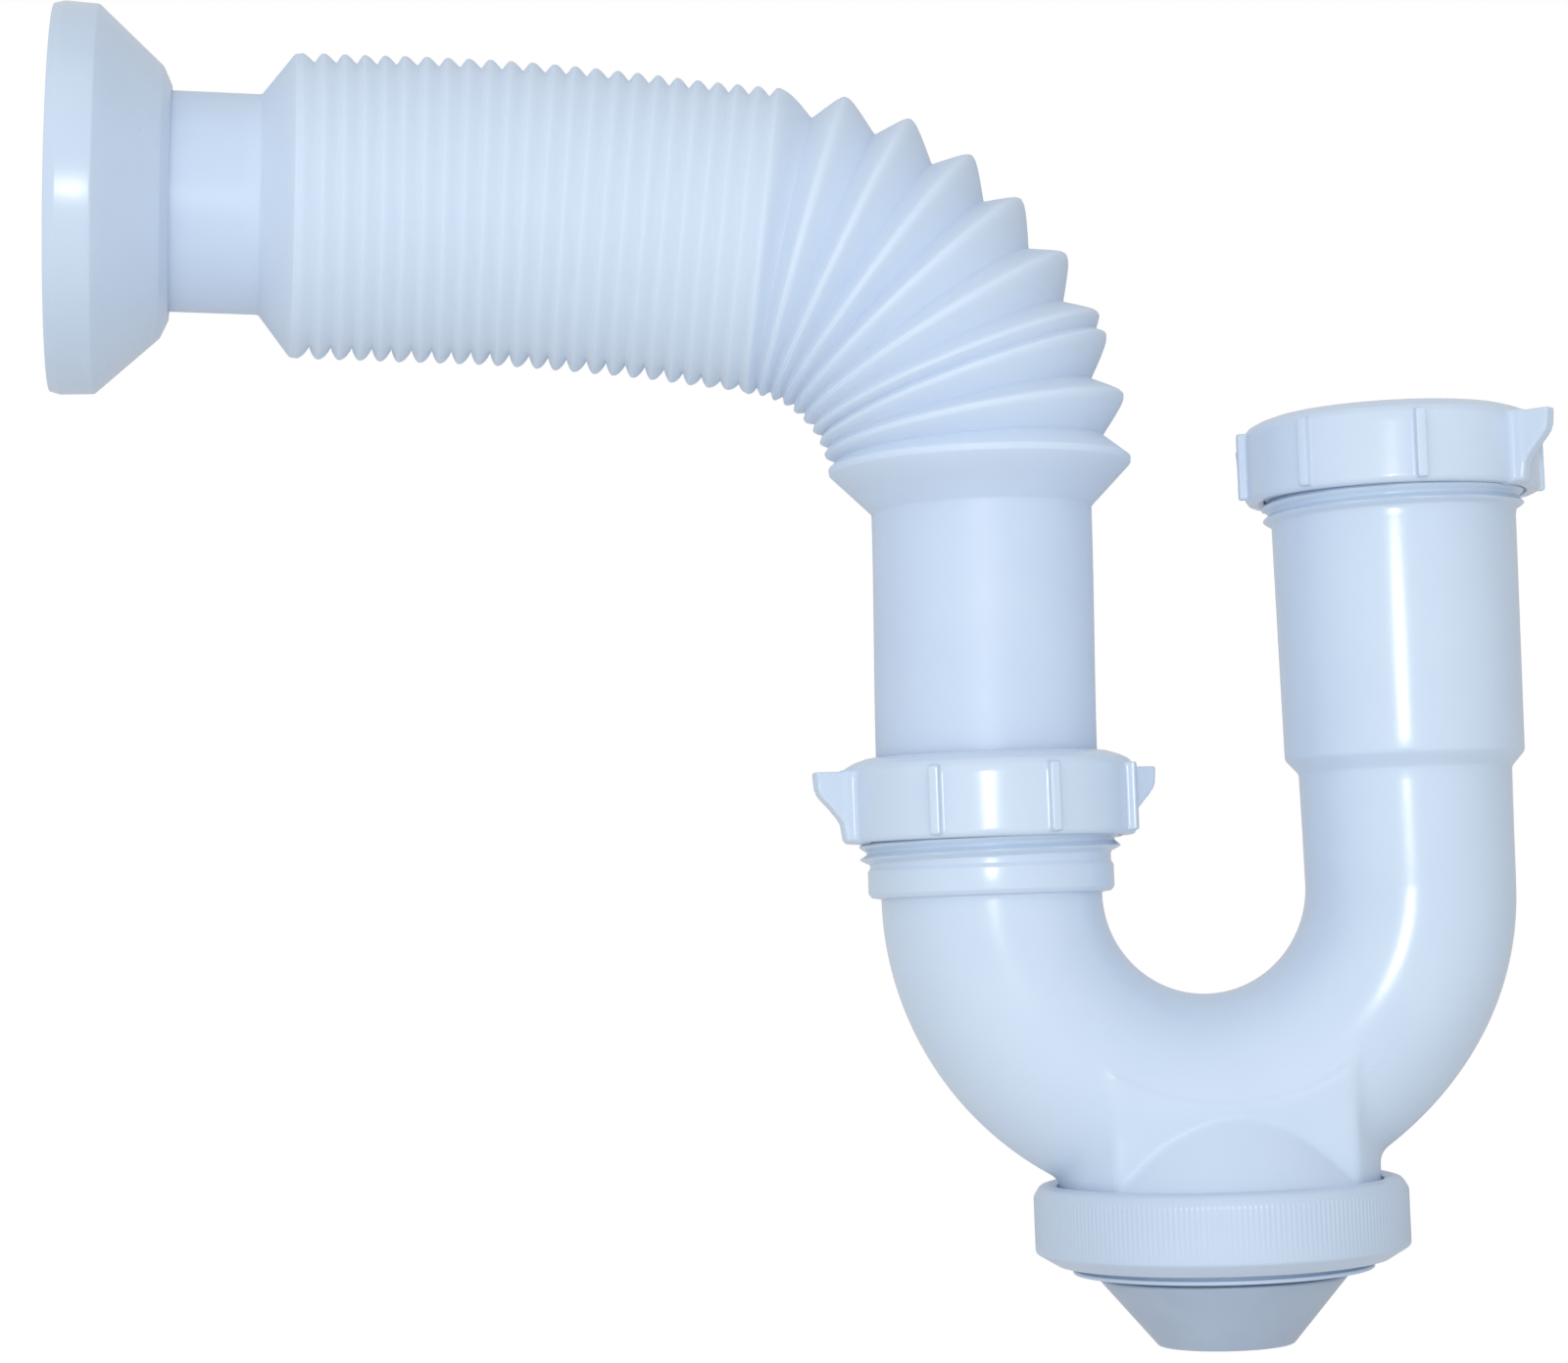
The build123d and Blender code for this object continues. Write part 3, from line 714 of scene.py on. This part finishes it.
def circle(centre, axis, radius, segments):
    """A ring from the top round; radius is a number or one number a segment."""
    side = np.array([axis[2], 0.0, -axis[0]])
    side /= np.linalg.norm(side)
    other = np.cross(axis, side)
    t = np.arange(segments) * PI2 / segments
    flat = np.cos(t)[:, None] * side + np.sin(t)[:, None] * other
    return centre + np.reshape(radius * np.ones(segments), (-1, 1)) * flat


def fold_shape(t, flat, tip, foot):
    """0 at a crest to 1 at a root: a flat tip, rounded, then a straight flank with a tight root."""
    s = max(0.0, (t - flat) / (1 - flat))
    g = (math.sqrt(s * s + tip * tip) - tip) / (math.sqrt(1 + tip * tip) - tip)
    h = 1 - g
    return 1 - (math.sqrt(h * h + foot * foot) - foot) / (math.sqrt(1 + foot * foot) - foot)


def scallop(t, full):
    """0 at a crest to 1 at a root, for a fold squeezed round: a half circle when full is 1."""
    return full * (1 - math.sqrt(max(0.0, 1 - t * t))) + (1 - full) * t * t


def settle(p):
    """How the hose sits: its cuff leans a little towards the trap, and the level stretch hangs a little."""
    x, z = p[:, 0].copy(), p[:, 2].copy()
    p[:, 0] += 0.85 * step(-58.0, -6.0, z) * step(-130.0, -98.0, x)
    p[:, 2] -= 0.28 * step(-92.0, -112.0, x) + 0.25 * step(40.0, 66.0, z) * step(-150.0, -122.0, x)
    return p


def make_hose():
    seg = 152
    up = np.array([0.0, 0.0, 1.0])
    outer, inner = [], []

    def upright(z, r):
        return np.array([OUT_X, 0.0, z]), up, r

    def far(d, r):
        return FAR_O + FAR_A * d, FAR_A, r

    def station(row):
        x, z, tilt, r = row
        return np.array([x, bow_y(x), z]), axis_at(x, tilt), r

    # outlet cuff, from its end up to the shoulder
    cuff = rounded([(18.7, -73.4), (19.4, -73.4, 0.3), (20.1, -72.2, 0.6), (20.1, -8.5, 1.0), (27.5, -0.95, 0.5),
                    (27.6, 0.15, 0.4), (26.9, 0.7)], close=False)
    for r, z in spaced(cuff, 5.0, close=False):
        outer.append(upright(z, r))
    crests = [station(c) for c in CRESTS]
    turn = np.arange(seg) * 360.0 / seg                 # 0 on top, 90 behind, 180 underneath, 270 in front
    below = (1 - np.cos(np.radians(turn))) / 2
    front = step(166.0, 203.0, turn) * (1 - step(320.0, 350.0, turn))
    roots = []
    for i, row in enumerate(ROOTS):
        c, a, r = station(row)
        crest = (crests[i][2] + crests[min(i + 1, len(crests) - 1)][2]) / 2
        if i < TIGHT:
            # pushed together, each fold leans: its long flank shows on the trap's side
            f = 0.60
            c = crests[i][0] + (crests[i + 1][0] - crests[i][0]) * f
            a = crests[i][1] + (crests[i + 1][1] - crests[i][1]) * f
            a = a / np.linalg.norm(a)
            # drawn nearly flat in front, open underneath until the bend squeezes them
            under = 2.7 - 1.2 * step(17.5, 22.5, i)
            depth = 1.75 + (under - 1.75) * step(0.6, 0.97, below)
            depth = depth + (0.5 - depth) * front
        else:
            depth = (crest - r) * (1 - 0.22 * step(0.55, 1.0, below))
        roots.append((c, a, crest - depth))

    def span(s, e, ts, from_crest, tight):
        """Rings between two stations, leaving out the last."""
        rows = []
        flat = 0.06 if tight else 0.075
        for t in ts:
            k = t if from_crest else 1 - t
            g = fold_shape(k, flat, 0.5 if tight else 0.12, 0.05)
            if tight:
                g = g + (scallop(k, 0.5) - g) * step(0.6, 0.97, below)
                g = g + (k * k * (3 - 2 * k) - g) * front
            if not from_crest:
                g = 1 - g
            c = s[0] + (e[0] - s[0]) * t
            a = s[1] + (e[1] - s[1]) * t
            rows.append((c, a / np.linalg.norm(a), s[2] + (e[2] - s[2]) * g))
        return rows

    down = (0.0, 0.07, 0.15, 0.26, 0.42, 0.62, 0.82, 0.94)      # crest to root
    rise = tuple(1 - t for t in reversed(down[1:] + (1.0,)))
    seq = []
    for i in range(len(CRESTS) - 1, -1, -1):
        seq.append((roots[i], False, i))
        seq.append((crests[i], True, i))
    for (s, is_crest, i), (e, _, j) in zip(seq[:-1], seq[1:]):
        outer += span(s, e, down if is_crest else rise, is_crest, max(i, j) <= TIGHT)
    outer.append(crests[0])
    # far shoulder and cuff
    far_prof = rounded([(27.4, 0.35), (27.35, 1.1, 0.5), (19.85, 6.9, 0.7), (19.85, 41.7, 0.6), (19.3, 42.9, 0.3),
                        (18.7, 42.9)], close=False)
    for r, d in spaced(far_prof, 4.0, close=False):
        outer.append(far(d, r))

    # inside, back to the outlet cuff's end
    for r, d in spaced([(18.5, 42.7), (18.5, 6.2), (26.1, 0.9)], 6.0, close=False):
        inner.append(far(d, r))
    for c, a, r in reversed([s[0] for s in seq]):
        inner.append((c, a, r - 1.1))
    for r, z in spaced([(26.4, -0.7), (18.5, -7.8), (18.5, -73.2)], 8.0, close=False):
        inner.append(upright(z, r))

    rings = outer + inner
    verts = np.concatenate([circle(c, a, r, seg) for c, a, r in rings])
    # painted light: the bellows get a lighter base colour that lifts the shade in their folds, and a duller finish;
    # the cuffs keep the plain material
    painted_light_mask = step(-4.0, 1.0, verts[:, 2]) * step(-206.0, -202.0, verts[:, 0])
    verts = settle(verts)
    faces = []
    for k in range(len(rings)):
        faces += ring_faces(k * seg, ((k + 1) % len(rings)) * seg, seg)
    ob = piece("corrugated_hose", verts, faces, HOSE, angle=60)
    mark = ob.data.attributes.new("painted_light_bellows", "FLOAT", "POINT")
    mark.data.foreach_set("value", painted_light_mask.astype(np.float32))
    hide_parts("flexible_hose")
    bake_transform(ob)
    return ob


# ================================================================ wall flange
def make_flange():
    prof = [(33.0, 0.0, 0.2), (34.6, 0.0, 0.25), (35.1, 1.9, 0.9), (34.85, 7.95, 0.8), (24.4, 19.4, 1.6),
            (21.1, 20.9, 0.3), (20.6, 20.7, 0.2), (20.6, 16.2), (22.0, 16.2), (22.0, 18.8), (23.2, 17.8, 0.5),
            (33.0, 7.1, 0.5)]
    rows = spaced(rounded(prof), 3.0)
    seg = 192
    face = FAR_O + FAR_A * 43.8 + np.array([0.0, 0.0, -0.62])   # it hangs on the cuff
    verts = np.concatenate([circle(face - FAR_A * z, FAR_A, r, seg) for r, z in rows])
    faces = []
    for k in range(len(rows)):
        faces += ring_faces(k * seg, ((k + 1) % len(rows)) * seg, seg)
    ob = piece("wall_cover", verts, faces, FLANGE, angle=42)
    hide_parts("wall_flange")
    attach(ob, "flange")
    return ob


# ================================================================ stage and light
def make_stage():
    # a round pale floor whose edge fades into the white room
    me = bpy.data.meshes.new("floor")
    n, radius, z = 96, 1.0, -0.30
    ring = [(radius * math.cos(PI2 * i / n) - 0.1, radius * math.sin(PI2 * i / n), z) for i in range(n)]
    me.from_pydata(ring, [], [tuple(range(n))])
    floor = bpy.data.objects.new("floor", me)
    bpy.context.scene.collection.objects.link(floor)
    mat = bpy.data.materials.new("floor_white")
    mat.use_nodes = True
    nodes, link = mat.node_tree.nodes, mat.node_tree.links.new
    bsdf = nodes["Principled BSDF"]
    bsdf.inputs["Base Color"].default_value = (0.84, 0.84, 0.84, 1)
    bsdf.inputs["Roughness"].default_value = 0.9
    tc = nodes.new("ShaderNodeTexCoord")
    dist = nodes.new("ShaderNodeVectorMath")
    dist.operation = "LENGTH"
    link(tc.outputs["Object"], dist.inputs[0])
    span = nodes.new("ShaderNodeMapRange")
    span.interpolation_type = "SMOOTHSTEP"
    span.inputs["From Min"].default_value, span.inputs["From Max"].default_value = 0.40, 0.90
    span.inputs["To Min"].default_value, span.inputs["To Max"].default_value = 0.5, 0.0
    link(dist.outputs["Value"], span.inputs["Value"])
    link(span.outputs["Result"], bsdf.inputs["Alpha"])
    me.materials.append(mat)

    # the room: white to look at, and a soft light that is strongest from the front
    world = bpy.data.worlds.new("studio")
    bpy.context.scene.world = world
    world.use_nodes = True
    nodes, link = world.node_tree.nodes, world.node_tree.links.new
    back = nodes["Background"]
    tc = nodes.new("ShaderNodeTexCoord")
    sep = nodes.new("ShaderNodeSeparateXYZ")
    link(tc.outputs["Generated"], sep.inputs["Vector"])
    total = None
    for axis, sign, gain in (("Y", -1, LIGHT_FRONT), ("Y", 1, LIGHT_BACK), ("Z", 1, LIGHT_TOP),
                             ("Z", -1, LIGHT_LOW), ("X", -1, LIGHT_LEFT)):
        side = nodes.new("ShaderNodeMapRange")
        side.inputs["From Max"].default_value = float(sign)
        side.inputs["To Max"].default_value = gain
        link(sep.outputs[axis], side.inputs["Value"])
        if total is None:
            side.inputs["To Min"].default_value = LIGHT_BASE
            side.inputs["To Max"].default_value = LIGHT_BASE + gain
            total = side.outputs["Result"]
        else:
            add = nodes.new("ShaderNodeMath")
            link(total, add.inputs[0])
            link(side.outputs["Result"], add.inputs[1])
            total = add.outputs["Value"]
    seen = nodes.new("ShaderNodeLightPath")
    white = nodes.new("ShaderNodeMath")
    white.operation = "MAXIMUM"
    link(seen.outputs["Is Camera Ray"], white.inputs[0])
    link(total, white.inputs[1])
    link(white.outputs["Value"], back.inputs["Strength"])
    back.inputs["Color"].default_value = (1, 1, 1, 1)

    def area(name, where, target, size, power, colour=(1, 1, 1), shape="DISK"):
        data = bpy.data.lights.new(name, "AREA")
        data.shape, data.size, data.energy, data.color = shape, size, power, colour
        ob = bpy.data.objects.new(name, data)
        bpy.context.scene.collection.objects.link(ob)
        ob.location = where
        ob.rotation_mode = "QUATERNION"
        ob.rotation_quaternion = (Vector(target) - Vector(where)).to_track_quat("-Z", "Y")
        return ob

    eye = EYE * MM
    area("front_lamp", (eye[0] + 0.01, eye[1] - 0.02, eye[2] + 0.07), (-0.11, 0.0, -0.03), 0.07, LAMP)
    bpy.context.scene.view_settings.view_transform = "Standard"


LIGHT_BASE, LIGHT_FRONT, LIGHT_BACK, LIGHT_TOP = 0.32, 0.61, 0.34, 0.26
LIGHT_LOW, LIGHT_LEFT, LAMP = 0.20, 0.22, 1.0

make_trap_body()
make_nut("inlet_slip_nut", 0.0, 0.0, -1.5, 43.5, "inlet_nut", "inlet_slip_nut", THREAD_IN)
make_nut("outlet_slip_nut", OUT_X, OUT_Z, 19.1, 109.1, "outlet_nut", "outlet_slip_nut", THREAD_OUT, drop=0.7)
make_ring_nut()
make_cup()
make_hose()
make_flange()
for node in ("inlet_washer", "outlet_washer", "cleanout_gasket"):
    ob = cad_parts[node]
    ob.data.materials.clear()
    ob.data.materials.append(RUBBER)
make_stage()
